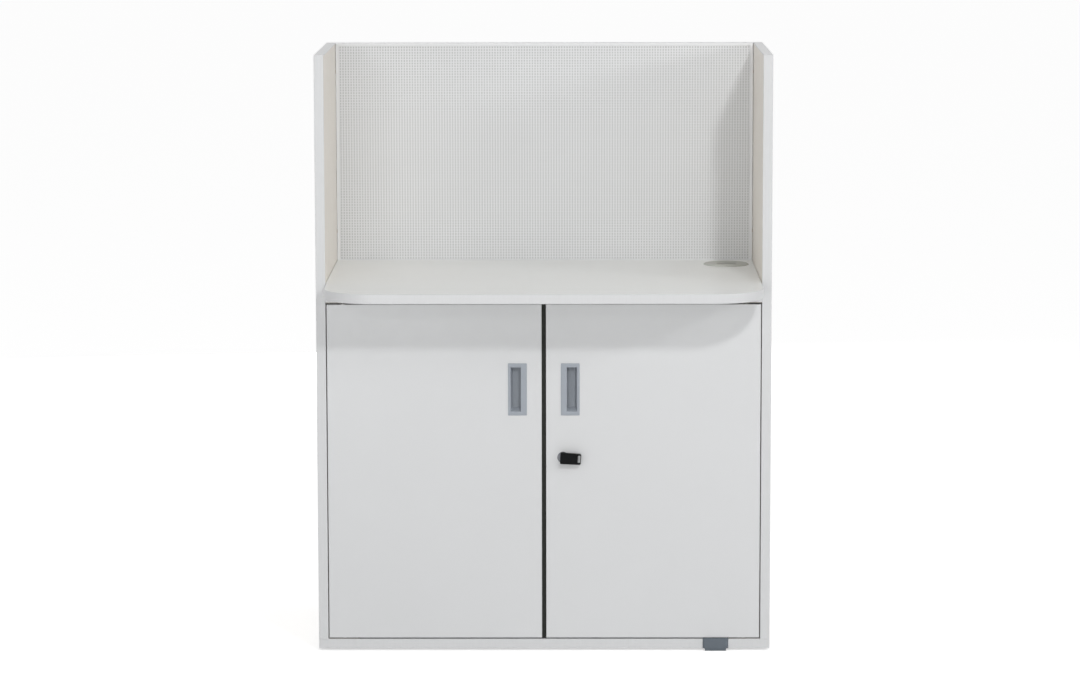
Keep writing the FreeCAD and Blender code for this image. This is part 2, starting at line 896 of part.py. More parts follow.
def grommet_cap():
    body = doc.addObject("PartDesign::Body", "grommet_cap_body")
    drawing = sketch(body, "grommet_cap_profile", "XZ_Plane")
    corners = [
        ("0", "0"),
        ("skirt_radius - cap_skirt_wall", "0"),
        ("skirt_radius - cap_skirt_wall", "-cap_skirt"),
        ("skirt_radius", "-cap_skirt"),
        ("skirt_radius", "0"),
        ("cap_radius", "0"),
        ("cap_radius", "cap_thickness"),
        ("0", "cap_thickness"),
    ]
    outline(drawing, corners)
    turned(body, drawing)
    slot = sketch(body, "grommet_cap_slot", "XY_Plane", "cap_thickness")
    slot_x = ("-cable_slot_width / 2", "cable_slot_width / 2")
    slot_y = ("-cable_slot_depth / 2", "cable_slot_depth / 2")
    rectangle(slot, slot_x, slot_y)
    opened = pocket(body, slot, "cap_thickness")
    corner_x = value("cable_slot_width / 2")

    def slot_corner(edge):
        on_end = lies_at(edge, x=corner_x) or lies_at(edge, x=-corner_x)
        return runs_along(edge, "z") and on_end

    dress(body, opened, "Fillet", "Radius", "cable_slot_corner", slot_corner)
    return place(body, "grommet_x", "grommet_y", "cap_under")


node(grommet_ring(), "grommet_ring")
node(grommet_cap(), "grommet_cap")


# ---- screen ----

def screen():
    outer_z = ("worktop_height", "overall_height")
    whole = box("screen_block", ("-screen_half", "screen_half"), ("screen_front", "back"), outer_z)
    inner_half = "screen_half - screen_border"
    inner_z = ("worktop_height + screen_sill", "overall_height - screen_border")
    through = ("screen_front - overcut", "back + overcut")
    hollow = box("screen_hollow", (f"-({inner_half})", inner_half), through, inner_z)
    y = "back - screen_depth / 2"
    holes = []
    dowels = []
    for side, sign in SIDES:
        for number, z in enumerate(screen_dowel_heights()):
            tag = f"{side}_{number}"
            inboard = "screen_dowel_in_frame"
            holes.append(dowel(f"screen_hole_{tag}", sign, y, z, inboard, "drill_clearance"))
            dowels.append(dowel(f"screen_dowel_{tag}", sign, y, z, inboard))
    node(cut("screen_frame_cut", whole, hollow, *holes), "screen_frame")
    node(group("screen_dowels_all", dowels), "screen_dowels")
    x_span = ("-sheet_half", "sheet_half")
    z_span = ("sheet_low", "sheet_high")
    core_front = "sheet_front + sheet_thickness"
    core_rear = "cover_rear - sheet_thickness"
    node(box("screen_sheet_box", x_span, ("sheet_front", core_front), z_span), "screen_sheet")
    node(box("screen_core_box", x_span, (core_front, core_rear), z_span), "screen_core")
    node(box("screen_cover_box", x_span, (core_rear, "cover_rear"), z_span), "screen_rear_cover")


screen()


# ---- shelf, its edging and pins ----

shelf_x = ("-shelf_half", "shelf_half")
shelf_z = ("shelf_under", "shelf_under + shelf_thickness")
node(box("shelf_board", shelf_x, ("shelf_front + band", "shelf_back"), shelf_z), "shelf")
node(box("shelf_band", shelf_x, ("shelf_front", "shelf_front + band"), shelf_z), "shelf_edge_band")


def shelf_pin(name, sign, row):
    span = mirrored(sign, "inner_half - shelf_pin_reach / 2", "inner_half + shelf_pin_length")
    radius = "hole_radius - shelf_pin_clearance"
    stem = rod(name + "_stem", "x", radius, span, (row, "shelf_pin_height"))
    x_span = mirrored(sign, "inner_half - shelf_pin_reach", "inner_half")
    y_span = (f"{row} - shelf_pin_width / 2", f"{row} + shelf_pin_width / 2")
    seat = box(name + "_seat", x_span, y_span, ("shelf_pin_height - hole_radius", "shelf_under"))
    return fused(name, stem, seat)


pieces = [
    shelf_pin(f"shelf_{row}_{side}", sign, row)
    for side, sign in SIDES
    for row in ("pin_row_front", "pin_row_back")
]
node(group("shelf_pins_all", pieces), "shelf_pins")


# ---- door pivots ----

def pivot_plate(end, side, sign):
    """A plate with a riveted pin: below on the base panel, above under the sub-top."""
    name = f"{end}_pivot_{side}"
    x_span = mirrored(sign, "pivot_x - plate_reach", "inner_half - plate_side_clearance")
    y_span = ("front + plate_edge", "door_back - plate_edge")
    x = f"{sign} * pivot_x"
    if end == "lower":
        z_span = ("base_top", "base_top + lower_plate")
        pin_span = ("base_top + lower_plate / 2", "door_low + pin_engagement")
        seat, up = "base_top + lower_plate", -1
    else:
        z_span = ("subtop_under - upper_plate", "subtop_under")
        pin_span = ("door_high - pin_engagement", "subtop_under - upper_plate / 2")
        seat, up = "subtop_under - upper_plate", 1
    plate = box(name + "_plate", x_span, y_span, z_span)
    pin = rod(name + "_pin", "z", "pin_radius", pin_span, (x, "pivot_y"))
    holes = [
        screw(f"{name}_hole_{number}", spot, seat, up, PLATE_SCREW, "drill_clearance")
        for number, spot in enumerate(plate_screw_spots(sign))
    ]
    node(cut(name + "_cut", fused(name + "_whole", plate, pin), *holes), name)
    return [
        screw(f"{name}_screw_{number}", spot, seat, up, PLATE_SCREW)
        for number, spot in enumerate(plate_screw_spots(sign))
    ]


pieces = []
for side, sign in SIDES:
    for end in ("lower", "upper"):
        pieces.extend(pivot_plate(end, side, sign))
node(group("plate_screws_all", pieces), "pivot_screws")


def bush(name, end, sign, play="0"):
    """A flanged bush in the edge of a door; with play it is the hole for one."""
    x = f"{sign} * pivot_x"
    if end == "low":
        barrel_span = ("door_low", f"door_low + bush_length + {play}")
        flange_span = ("door_low - bush_flange", "door_low")
    else:
        barrel_span = (f"door_high - bush_length - {play}", "door_high")
        flange_span = ("door_high", "door_high + bush_flange")
    barrel = rod(name + "_barrel", "z", f"bush_radius + {play}", barrel_span, (x, "pivot_y"))
    if play != "0":
        return barrel
    flange = rod(name + "_flange", "z", "bush_flange_radius", flange_span, (x, "pivot_y"))
    through = ("door_low - overcut", "door_low + bush_length + overcut")
    if end == "high":
        through = ("door_high - bush_length - overcut", "door_high + overcut")
    bore = rod(name + "_bore", "z", "pin_radius + running_clearance", through, (x, "pivot_y"))
    return cut(name, fused(name + "_whole", barrel, flange), bore)


# ---- doors ----

def door(side, sign):
    """A board with pockets for its pull, bushes and lock, and edging on all four edges."""
    x_outer = mirrored(sign, "door_near", "door_far")
    x_inner = mirrored(sign, "door_near + band", "door_far - band")
    z_outer = ("door_low", "door_high")
    z_inner = ("door_low + band", "door_high - band")
    board = box(f"door_{side}_board", x_inner, ("front", "door_back"), z_inner)
    tools = [bush(f"door_{side}_bush_hole_{end}", end, sign, "drill_clearance") for end in ENDS]
    tools.append(pull_cup(f"door_{side}_pull_pocket", sign, "fit_clearance"))
    if side == "right":
        span = ("front - overcut", "door_back + overcut")
        spot = ("lock_x", "lock_height")
        tools.append(rod("door_lock_hole", "y", "barrel_radius + fit_clearance", span, spot))
    node(cut(f"door_{side}_cut", board, *tools), f"door_{side}_panel")

    body = doc.addObject("PartDesign::Body", f"door_{side}_band")
    drawing = sketch(body, f"door_{side}_band_outline", "XZ_Plane")
    rectangle(drawing, x_outer, z_outer)
    rectangle(drawing, x_inner, z_inner)
    strip = pad(body, drawing, "door_thickness")
    front_y = -value("door_thickness")
    limits = [value(text) for text in x_outer]
    levels = [value(text) for text in z_outer]

    def front_arris(edge):
        upright = runs_along(edge, "z") and any(all_in_plane(edge, "x", at) for at in limits)
        level = runs_along(edge, "x") and any(all_in_plane(edge, "z", at) for at in levels)
        return all_in_plane(edge, "y", front_y) and (upright or level)

    dress(body, strip, "Fillet", "Radius", "arris", front_arris)
    place(body, "0", "door_back", "0")
    holes = [bush(f"door_{side}_band_hole_{end}", end, sign, "drill_clearance") for end in ENDS]
    node(cut(f"door_{side}_band_cut", body, *holes), f"door_{side}_edge_band")
    bushes = [bush(f"door_{side}_bush_{end}", end, sign) for end in ENDS]
    node(group(f"door_{side}_bushes_all", bushes), f"door_{side}_bushes")


def pull_cup(name, sign, play="0"):
    """The cup of a pull, grown by play to make the pocket for it."""
    opening = "pull_x + pull_width / 2 - pull_margin"
    far = f"{opening} + pull_wall + {play}"
    near = f"{opening} - recess_width - pull_undercut - pull_wall - {play}"
    z_half = f"recess_length / 2 + pull_wall + {play}"
    z_span = (f"pull_height - ({z_half})", f"pull_height + {z_half}")
    y_span = ("front", f"front + recess_depth + pull_wall + {play}")
    return box(name, mirrored(sign, near, far), y_span, z_span)


def pull(side, sign):
    """A flush pull: a face plate and a cup that runs on under the plate's wide border."""
    x_plate = mirrored(sign, "pull_x - pull_width / 2", "pull_x + pull_width / 2")
    y_plate = ("front - pull_plate", "front")
    z_plate = ("pull_height - pull_length / 2", "pull_height + pull_length / 2")
    plate = box(f"pull_{side}_plate", x_plate, y_plate, z_plate)
    far = "pull_x + pull_width / 2 - pull_margin"
    x_open = mirrored(sign, f"{far} - recess_width", far)
    x_hollow = mirrored(sign, f"{far} - recess_width - pull_undercut", far)
    z_open = ("pull_height - recess_length / 2", "pull_height + recess_length / 2")
    y_open = ("front - pull_plate - overcut", "front + recess_depth")
    mouth = box(f"pull_{side}_mouth", x_open, y_open, z_open)
    hollow = box(f"pull_{side}_hollow", x_hollow, ("front", "front + recess_depth"), z_open)
    whole = fused(f"pull_{side}_whole", plate, pull_cup(f"pull_{side}_cup", sign))
    node(cut(f"pull_{side}_cut", whole, mouth, hollow), f"pull_{side}")


for side, sign in SIDES:
    door(side, sign)
    pull(side, sign)

seal_x = ("-door_near", "door_near - seal_clearance")
seal_y = ("front + seal_setback", "front + seal_setback + seal_depth")
node(box("seal_strip", seal_x, seal_y, ("door_low", "door_high")), "meeting_seal")


# ---- magnetic catches ----

for side, sign in SIDES:
    x_span = mirrored(sign, "catch_x - strike_width / 2", "catch_x + strike_width / 2")
    z_span = ("door_high - strike_drop - strike_height", "door_high - strike_drop")
    y_span = ("door_back", "door_back + strike_thickness")
    node(box(f"strike_{side}_box", x_span, y_span, z_span), f"strike_plate_{side}")
    x_span = mirrored(sign, "catch_x - catch_width / 2", "catch_x + catch_width / 2")
    face = "door_back + strike_thickness + catch_gap"
    z_span = ("subtop_under - catch_height", "subtop_under")
    y_span = (face, f"{face} + catch_depth")
    node(box(f"catch_{side}_box", x_span, y_span, z_span), f"magnetic_catch_{side}")


# ---- shutting bolt on the left door ----

x_span = ("-(bolt_x + bolt_housing_width / 2)", "-(bolt_x - bolt_housing_width / 2)")
y_span = ("door_back", "door_back + bolt_housing_depth")
block = box("bolt_block", x_span, y_span, ("bolt_housing_base", "bolt_housing_top"))
bore_span = ("bolt_housing_base - overcut", "bolt_housing_top + overcut")
bore = rod("bolt_bore", "z", "bolt_radius + running_clearance", bore_span, ("-bolt_x", "bolt_y"))
node(cut("bolt_housing_cut", block, bore), "bolt_housing")

rod_span = ("bolt_knob_z - bolt_knob_radius", "door_high - bolt_tip_drop")
stem = rod("bolt_stem", "z", "bolt_radius", rod_span, ("-bolt_x", "bolt_y"))
knob_span = ("bolt_y", "bolt_y + bolt_knob_length")
knob = rod("bolt_knob", "y", "bolt_knob_radius", knob_span, ("-bolt_x", "bolt_knob_z"))
node(fused("bolt_rod_whole", stem, knob), "bolt_rod")


# ---- cam lock, drawn about its own axis and set in the right door ----

def set_in_lock(item):
    """Put an item drawn about the lock's axis into the door, turned as the key rests."""
    about_y = FreeCAD.Rotation(FreeCAD.Vector(0, 1, 0), 1)
    item.Placement = FreeCAD.Placement(FreeCAD.Vector(), about_y)
    bind(item, "Placement.Rotation.Angle", "key_tilt")
    return place(item, "lock_x", "front", "lock_height")


AXIS = ("0", "0")

rosette = rod("rosette", "y", "rosette_radius", ("-rosette_thickness", "0"), AXIS)
barrel = rod("barrel", "y", "barrel_radius", ("0", "barrel_length"), AXIS)
through = ("-rosette_thickness - overcut", "barrel_length + overcut")
bore = rod("lock_bore", "y", "plug_radius + running_clearance", through, AXIS)
node(set_in_lock(cut("lock_body_cut", fused("lock_body_whole", rosette, barrel), bore)), "lock_body")

prism = doc.addObject("Part::Prism", "nut_prism")
prism.Polygon = 6
prism.Placement = FreeCAD.Placement(FreeCAD.Vector(), TURNS["y"])
bind(prism, "Circumradius", "nut_radius")
bind(prism, "Height", "nut_thickness")
place(prism, "0", "door_thickness", "0")
through = ("0", "barrel_length + overcut")
bore = rod("nut_bore", "y", "barrel_radius + drill_clearance", through, AXIS)
node(set_in_lock(cut("nut_cut", prism, bore)), "lock_nut")

plug_span = ("-(rosette_thickness + plug_proud)", "cam_front")
plug = rod("plug_rod", "y", "plug_radius", plug_span, AXIS)
keyway = box(
    "keyway",
    ("-(blade_thickness / 2 + fit_clearance)", "blade_thickness / 2 + fit_clearance"),
    ("-(rosette_thickness + plug_proud + overcut)", "blade_length"),
    ("-(blade_width / 2 + fit_clearance)", "blade_width / 2 + fit_clearance"),
)
tapped = rod(
    "plug_tapped",
    "y",
    "cam_screw_radius + drill_clearance",
    ("cam_front - cam_screw_length + cam_thickness - drill_spare", "cam_front + overcut"),
    AXIS,
)
node(set_in_lock(cut("plug_cut", plug, keyway, tapped)), "lock_plug")


def cam():
    body = doc.addObject("PartDesign::Body", "cam_body")
    drawing = sketch(body, "cam_outline", "XZ_Plane")
    rectangle(drawing, ("-cam_width / 2", "cam_width / 2"), ("-cam_reach", "cam_width / 2"))
    disc(drawing, "0", "0", "cam_screw_radius + drill_clearance")
    blank = pad(body, drawing, "cam_thickness", True)
    edge_x = value("cam_width / 2")

    def outer_corner(edge):
        on_edge = lies_at(edge, x=edge_x) or lies_at(edge, x=-edge_x)
        return runs_along(edge, "y") and on_edge

    dress(body, blank, "Fillet", "Radius", "cam_corner", outer_corner)
    return place(body, "0", "cam_front", "0")


node(set_in_lock(group("cam_seated", [cam()])), "lock_cam")

cam_rear = "cam_front + cam_thickness"
head_span = (cam_rear, f"{cam_rear} + cam_screw_head_height")
shank_span = (f"{cam_rear} - cam_screw_length", cam_rear)
head = rod("cam_screw_cap", "y", "cam_screw_head", head_span, AXIS)
shank = rod("cam_screw_shank", "y", "cam_screw_radius", shank_span, AXIS)
node(set_in_lock(fused("cam_screw_whole", head, shank)), "cam_screw")

x_span = ("-(keeper_near + keeper_width)", "-keeper_near")
y_span = ("door_back", "front + cam_front - keeper_clearance")
z_span = ("lock_height - keeper_height / 2", "lock_height + keeper_height / 2")
node(box("keeper_box", x_span, y_span, z_span), "cam_keeper")


# ---- folding key ----

shoulder = "-(rosette_thickness + plug_proud + key_standoff)"
flat = ("-blade_thickness / 2", "blade_thickness / 2")
neck_z = ("-neck_width / 2", "neck_width / 2")
eye_spot = ("0", "key_pin_y")
blade_z = ("-blade_width / 2", "blade_width / 2")
blade = box("blade", flat, (shoulder, f"{shoulder} + blade_length"), blade_z)
neck = box("neck", flat, ("key_pin_y", shoulder), neck_z)
eye = rod("eye", "z", "eye_radius", neck_z, eye_spot)
through = ("-neck_width", "neck_width")
hole = rod("eye_hole", "z", "key_pin_radius + running_clearance", through, eye_spot)
node(set_in_lock(cut("key_blade_cut", fused("key_blade_whole", blade, neck, eye), hole)), "key_blade")


def key_head():
    """The moulded head: hollowed at one end round the blade's eye, slotted at the other."""
    body = doc.addObject("PartDesign::Body", "key_head_body")
    drawing = sketch(body, "key_head_outline", "XZ_Plane")
    head_x = ("-head_end", "head_length - head_end")
    rectangle(drawing, head_x, ("-head_width / 2", "head_width / 2"))
    blank = pad(body, drawing, "head_thickness")
    rounded = dress(
        body,
        blank,
        "Fillet",
        "Radius",
        "head_corner",
        lambda edge: runs_along(edge, "y"),
    )
    slot = sketch(body, "ring_slot", "XZ_Plane")
    right = "head_length - head_end - ring_slot_edge"
    left = f"{right} - ring_slot_width"
    rectangle(slot, (left, right), ("-ring_slot_length / 2", "ring_slot_length / 2"))
    body.Tip = rounded
    opened = pocket(body, slot, "head_thickness", True)
    ends = (value(left), value(right))

    def slot_corner(edge):
        return runs_along(edge, "y") and any(lies_at(edge, x=end) for end in ends)

    dress(body, opened, "Fillet", "Radius", "head_corner", slot_corner)
    place(body, "0", "key_pin_y + head_thickness / 2", "0")
    room = "eye_radius + notch_clearance"
    notch = box(
        "head_notch",
        ("-(head_end + overcut)", room),
        (f"key_pin_y - ({room})", "key_pin_y + head_thickness / 2 + overcut"),
        ("-(neck_width / 2 + notch_clearance)", "neck_width / 2 + notch_clearance"),
    )
    reach = "neck_width / 2 + notch_clearance + pin_in_head"
    hole_span = (f"-({reach} + drill_spare)", f"{reach} + drill_spare")
    radius = "key_pin_radius + drill_clearance"
    pin_hole = rod("head_pin_hole", "z", radius, hole_span, eye_spot)
    pin = rod("key_pin_rod", "z", "key_pin_radius", (f"-({reach})", reach), eye_spot)
    node(set_in_lock(cut("key_head_cut", body, notch, pin_hole)), "key_head")
    node(set_in_lock(group("key_pin_seated", [pin])), "key_pin")


key_head()


# ---- feet ----

def foot_clip():
    """A clip over the front edge of the base, with a lip on top and a foot below."""
    body = doc.addObject("PartDesign::Body", "foot_clip_body")
    drawing = sketch(body, "clip_profile", "YZ_Plane")
    corners = [
        ("front - clip_thickness", "foot_height"),
        ("front", "foot_height"),
        ("front", "base_top"),
        ("front + clip_lip_depth", "base_top"),
        ("front + clip_lip_depth", "base_top + clip_lip"),
        ("front - clip_thickness", "base_top + clip_lip"),
    ]
    outline(drawing, corners)
    shell = pad(body, drawing, "clip_width")
    face_y = value("front - clip_thickness")
    bevelled = dress(
        body,
        shell,
        "Chamfer",
        "Size",
        "clip_bevel",
        lambda edge: runs_along(edge, "z") and lies_at(edge, y=face_y),
    )
    body.Tip = bevelled
    place(body, "clip_x - clip_width / 2", "0", "0")
    x_span = ("clip_x - clip_foot_width / 2", "clip_x + clip_foot_width / 2")
    y_span = ("front - clip_foot_setback", "front - clip_foot_setback + clip_foot_depth")
    leg = box("clip_leg", x_span, y_span, ("sole_thickness", "foot_height"))
    node(fused("foot_clip_whole", body, leg), "foot_clip")
    node(box("clip_sole", x_span, y_span, ("0", "sole_thickness")), "foot_sole")


foot_clip()

glide_x = "half_width - glide_margin"
glide_spots = [
    (f"-({glide_x})", "front + glide_margin"),
    (f"-({glide_x})", "back - glide_margin"),
    (glide_x, "back - glide_margin"),
]
pieces = [
    rod(f"glide_{number}", "z", "glide_radius", ("0", "foot_height"), spot)
    for number, spot in enumerate(glide_spots)
]
node(group("glides_all", pieces), "glide_pads")


# ---- check every object, then write each sub-part ----

doc.recompute()
for item in doc.Objects:
    if "Invalid" in item.State or "Error" in item.State:
        raise RuntimeError(f"{item.Label} failed: {item.State}")
for item in NODES:
    if item.Shape.isNull() or not item.Shape.isValid() or not item.Shape.Solids:
        raise RuntimeError(f"{item.Label} has no valid solid")
for item in NODES:
    item.Shape.exportStep(f"parts/{item.Label}.step")
print(len(NODES), "sub-parts written")
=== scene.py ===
import json
import math

import bmesh
import bpy
from mathutils import Matrix, Vector


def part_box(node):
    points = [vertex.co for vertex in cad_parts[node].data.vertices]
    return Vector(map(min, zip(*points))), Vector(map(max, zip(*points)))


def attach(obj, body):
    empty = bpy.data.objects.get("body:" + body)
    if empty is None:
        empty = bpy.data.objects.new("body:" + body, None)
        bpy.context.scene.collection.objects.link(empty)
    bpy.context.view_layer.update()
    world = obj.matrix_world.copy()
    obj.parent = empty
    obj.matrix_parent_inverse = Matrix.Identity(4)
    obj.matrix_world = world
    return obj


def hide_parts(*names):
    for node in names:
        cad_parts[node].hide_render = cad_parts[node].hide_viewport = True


# Finishes, fine meshes, light and camera for a two-door office credenza with a perforated screen.
# Everything is in metres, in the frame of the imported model.

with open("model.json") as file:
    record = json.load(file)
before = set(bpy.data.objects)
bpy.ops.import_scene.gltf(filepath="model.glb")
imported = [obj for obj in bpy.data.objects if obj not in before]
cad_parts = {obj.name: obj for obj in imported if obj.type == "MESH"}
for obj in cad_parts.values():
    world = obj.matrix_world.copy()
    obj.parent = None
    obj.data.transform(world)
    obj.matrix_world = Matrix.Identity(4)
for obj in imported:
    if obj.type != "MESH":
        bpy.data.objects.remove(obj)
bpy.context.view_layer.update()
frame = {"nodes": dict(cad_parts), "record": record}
NODES = frame["nodes"]

MM = 0.001
WELD = 0.01 * MM
NOISE_LOW = 0.3
NOISE_HIGH = 0.7


# ---- small helpers ----

def linear(red, green, blue):
    """An sRGB colour of 0 to 255 as the linear colour that a shader takes."""

    def one(level):
        share = level / 255
        if share <= 0.04045:
            return share / 12.92
        return ((share + 0.055) / 1.055) ** 2.4

    return (one(red), one(green), one(blue), 1.0)


def shaded(colour, factor):
    return tuple(min(1.0, part * factor) for part in colour[:3]) + (1.0,)


# ---- materials ----

class Finish:
    """A Principled material whose nodes are placed in the frame, by Object coordinates."""

    def __init__(self, name, colour, roughness, metallic=0.0, specular=0.5):
        self.material = bpy.data.materials.new(name)
        self.material.use_nodes = True
        self.tree = self.material.node_tree
        self.shader = self.tree.nodes["Principled BSDF"]
        self.shader.inputs["Base Color"].default_value = colour
        self.shader.inputs["Roughness"].default_value = roughness
        self.shader.inputs["Metallic"].default_value = metallic
        self.shader.inputs["Specular IOR Level"].default_value = specular
        self.where = self.node("ShaderNodeTexCoord").outputs["Object"]
        self.height = None

    def node(self, kind, **settings):
        made = self.tree.nodes.new(kind)
        for key, setting in settings.items():
            setattr(made, key, setting)
        return made

    def link(self, start, end):
        self.tree.links.new(start, end)

    def stretched(self, scale):
        """The place in the frame, scaled by one number an axis."""
        mapping = self.node("ShaderNodeMapping")
        mapping.inputs["Scale"].default_value = scale
        self.link(self.where, mapping.inputs["Vector"])
        return mapping.outputs["Vector"]

    def noise(self, scale, detail=2.0, where=None):
        made = self.node("ShaderNodeTexNoise")
        made.inputs["Scale"].default_value = scale
        made.inputs["Detail"].default_value = detail
        self.link(where or self.where, made.inputs["Vector"])
        return made.outputs["Fac"]

    def mapped(self, source, low, high):
        """The middle of a noise spread over the span from low to high."""
        made = self.node("ShaderNodeMapRange")
        made.inputs["From Min"].default_value = NOISE_LOW
        made.inputs["From Max"].default_value = NOISE_HIGH
        made.inputs["To Min"].default_value = low
        made.inputs["To Max"].default_value = high
        self.link(source, made.inputs["Value"])
        return made.outputs["Result"]

    def tint(self, source, first, second):
        """Colour that drifts between two tones as the source does. Returns it."""
        ramp = self.node("ShaderNodeValToRGB")
        ramp.color_ramp.elements[0].position = NOISE_LOW
        ramp.color_ramp.elements[0].color = first
        ramp.color_ramp.elements[1].position = NOISE_HIGH
        ramp.color_ramp.elements[1].color = second
        self.link(source, ramp.inputs["Fac"])
        self.link(ramp.outputs["Color"], self.shader.inputs["Base Color"])
        return ramp.outputs["Color"]

    def gloss(self, source, low, high):
        self.link(self.mapped(source, low, high), self.shader.inputs["Roughness"])

    def bump(self, source, depth):
        """Relief of a depth in metres, on top of what the material already has."""
        made = self.node("ShaderNodeBump")
        made.inputs["Distance"].default_value = depth
        self.link(source, made.inputs["Height"])
        if self.height is not None:
            self.link(self.height, made.inputs["Normal"])
        self.height = made.outputs["Normal"]
        self.link(self.height, self.shader.inputs["Normal"])


def melamine(name, colour, gloss=(0.36, 0.46), relief=0.000012):
    """Satin melamine on board: a fine pearl, and a tone that drifts a little."""
    finish = Finish(name, colour, gloss[0])
    drift = finish.noise(2.3, detail=3.0)
    finish.tint(drift, shaded(colour, 0.985), shaded(colour, 1.012))
    finish.gloss(finish.noise(38.0, detail=4.0), *gloss)
    finish.bump(finish.noise(420.0, detail=2.0), relief)
    return finish.material


def edging(name, colour):
    """Edging strip: smoother than the board, with the faint lines of its trimming."""
    finish = Finish(name, colour, 0.36)
    lines = finish.noise(60.0, detail=3.0, where=finish.stretched((6.0, 6.0, 0.4)))
    finish.tint(lines, shaded(colour, 0.985), shaded(colour, 1.01))
    finish.gloss(lines, 0.3, 0.42)
    finish.bump(finish.noise(420.0, detail=2.0), 0.000008)
    return finish.material


def powder_coat(name, colour):
    """Powder coat on sheet metal: a fine orange peel."""
    finish = Finish(name, colour, 0.45)
    finish.tint(finish.noise(5.0), shaded(colour, 0.98), shaded(colour, 1.01))
    finish.gloss(finish.noise(90.0), 0.4, 0.52)
    finish.bump(finish.noise(1500.0, detail=3.0), 0.00002)
    return finish.material


def felt(name, colour):
    """Pressed felt: matted fibres in two directions."""
    finish = Finish(name, colour, 0.95, specular=0.15)
    across = finish.noise(700.0, detail=4.0, where=finish.stretched((1.0, 1.0, 0.35)))
    along = finish.noise(700.0, detail=4.0, where=finish.stretched((0.35, 1.0, 1.0)))
    finish.tint(across, shaded(colour, 0.9), shaded(colour, 1.08))
    finish.bump(across, 0.0002)
    finish.bump(along, 0.0002)
    return finish.material


def beech(name, colour):
    """Beech turned into dowels: short darker flecks along the grain."""
    finish = Finish(name, colour, 0.6)
    grain = finish.noise(90.0, detail=5.0, where=finish.stretched((0.25, 3.0, 3.0)))
    finish.tint(grain, shaded(colour, 0.72), shaded(colour, 1.12))
    finish.bump(grain, 0.00008)
    return finish.material


def plated(name, colour, roughness=(0.24, 0.38)):
    """Plated steel: fine streaks of rolling and slightly clouded gloss."""
    finish = Finish(name, colour, roughness[0], metallic=1.0)
    streak = finish.noise(160.0, detail=4.0, where=finish.stretched((1.0, 1.0, 9.0)))
    finish.tint(streak, shaded(colour, 0.88), shaded(colour, 1.05))
    finish.gloss(finish.noise(70.0, detail=3.0), *roughness)
    finish.bump(streak, 0.000006)
    return finish.material


def silver_paint_with_painted_shade(name, colour, start, end, darkest):
    """Silver-grey lacquer with small flakes, made darker from start to end along Y: painted shade
    in the pull's recess.
    """
    finish = Finish(name, colour, 0.46, metallic=0.04, specular=0.3)
    flake = finish.noise(2600.0, detail=1.0)
    flaked = finish.tint(flake, shaded(colour, 0.94), shaded(colour, 1.06))
    place = finish.node("ShaderNodeSeparateXYZ")
    finish.link(finish.where, place.inputs[0])
    share = finish.node("ShaderNodeMapRange")
    share.inputs["From Min"].default_value = start
    share.inputs["From Max"].default_value = end
    share.inputs["To Min"].default_value = 1.0
    share.inputs["To Max"].default_value = darkest
    finish.link(place.outputs["Y"], share.inputs["Value"])
    # Painted shade: the flaked colour is scaled down towards the back of the recess.
    painted_shade = finish.node("ShaderNodeVectorMath", operation="SCALE")
    finish.link(flaked, painted_shade.inputs[0])
    finish.link(share.outputs["Result"], painted_shade.inputs["Scale"])
    finish.link(painted_shade.outputs["Vector"], finish.shader.inputs["Base Color"])
    finish.gloss(finish.noise(150.0), 0.42, 0.54)
    finish.bump(finish.noise(600.0), 0.00001)
    return finish.material


def moulded(name, colour, gloss, grain=900.0, specular=0.5):
    """Moulded plastic or rubber with a spark-eroded grain."""
    finish = Finish(name, colour, gloss[0], specular=specular)
    finish.tint(finish.noise(14.0), shaded(colour, 0.95), shaded(colour, 1.04))
    finish.gloss(finish.noise(110.0), *gloss)
    finish.bump(finish.noise(grain, detail=3.0), 0.00003)
    return finish.material


# The pulls' paint is made darker over the last part of their depth: painted shade in the recess.
PULL_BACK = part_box("pull_left")[1].y
PULL_PAINTED_SHADE_START = PULL_BACK - 5.0 * MM
PULL_PAINTED_SHADE_FACTOR = 0.68
MATERIALS = {
    "board_white": melamine("melamine_white", linear(219, 220, 221)),
    "board_ivory": melamine("melamine_ivory", linear(236, 230, 221)),
    "edging_white": edging("edging_white", linear(216, 217, 218)),
    "screen_white": powder_coat("powder_coat_white", linear(236, 237, 238)),
    "screen_filling": felt("felt_grey", linear(212, 213, 213)),
    "dowel_wood": beech("beech", linear(214, 178, 134)),
    "zinc_steel": plated("zinc_plate", linear(206, 207, 208)),
    "lock_metal": plated("satin_nickel", linear(114, 116, 120), (0.28, 0.4)),
    # The pulls' colour carries painted shade in their recesses.
    "pull_grey": silver_paint_with_painted_shade(
        "pull_silver_painted_shade", linear(161, 167, 175), PULL_PAINTED_SHADE_START, PULL_BACK, PULL_PAINTED_SHADE_FACTOR
    ),
    "nylon_white": moulded("nylon_white", linear(226, 225, 220), (0.4, 0.52)),
    "seal_black": moulded("seal_black", linear(38, 40, 36), (0.6, 0.75), 500.0, specular=0.2),
    "key_black": moulded("key_black", linear(18, 19, 20), (0.5, 0.6), specular=0.08),
    "grommet_grey": moulded("grommet_grey", linear(190, 191, 185), (0.45, 0.58)),
    "foot_grey": moulded("foot_grey", linear(104, 112, 120), (0.5, 0.62), specular=0.3),
    "sole_rubber": moulded("sole_rubber", linear(112, 118, 124), (0.65, 0.8), 500.0),
}
# Dull zinc for the pivot plates, made darker still to stand for the shade of the door gap they
# sit in: partly painted shade.
GAP_SHADE_ZINC = plated("zinc_dull_gap_shade", linear(122, 120, 116), (0.4, 0.5))
# The worktop's white is made lighter than the doors' board white so that its top renders brightly
# lit: painted light. Its smoother, glossier face with finer relief is its own.
WORKTOP_PAINTED_LIGHT = melamine("melamine_worktop_painted_light", linear(242, 243, 241), (0.3, 0.36), 0.000003)


def dress(piece, material):
    piece.data.materials.clear()
    piece.data.materials.append(material)


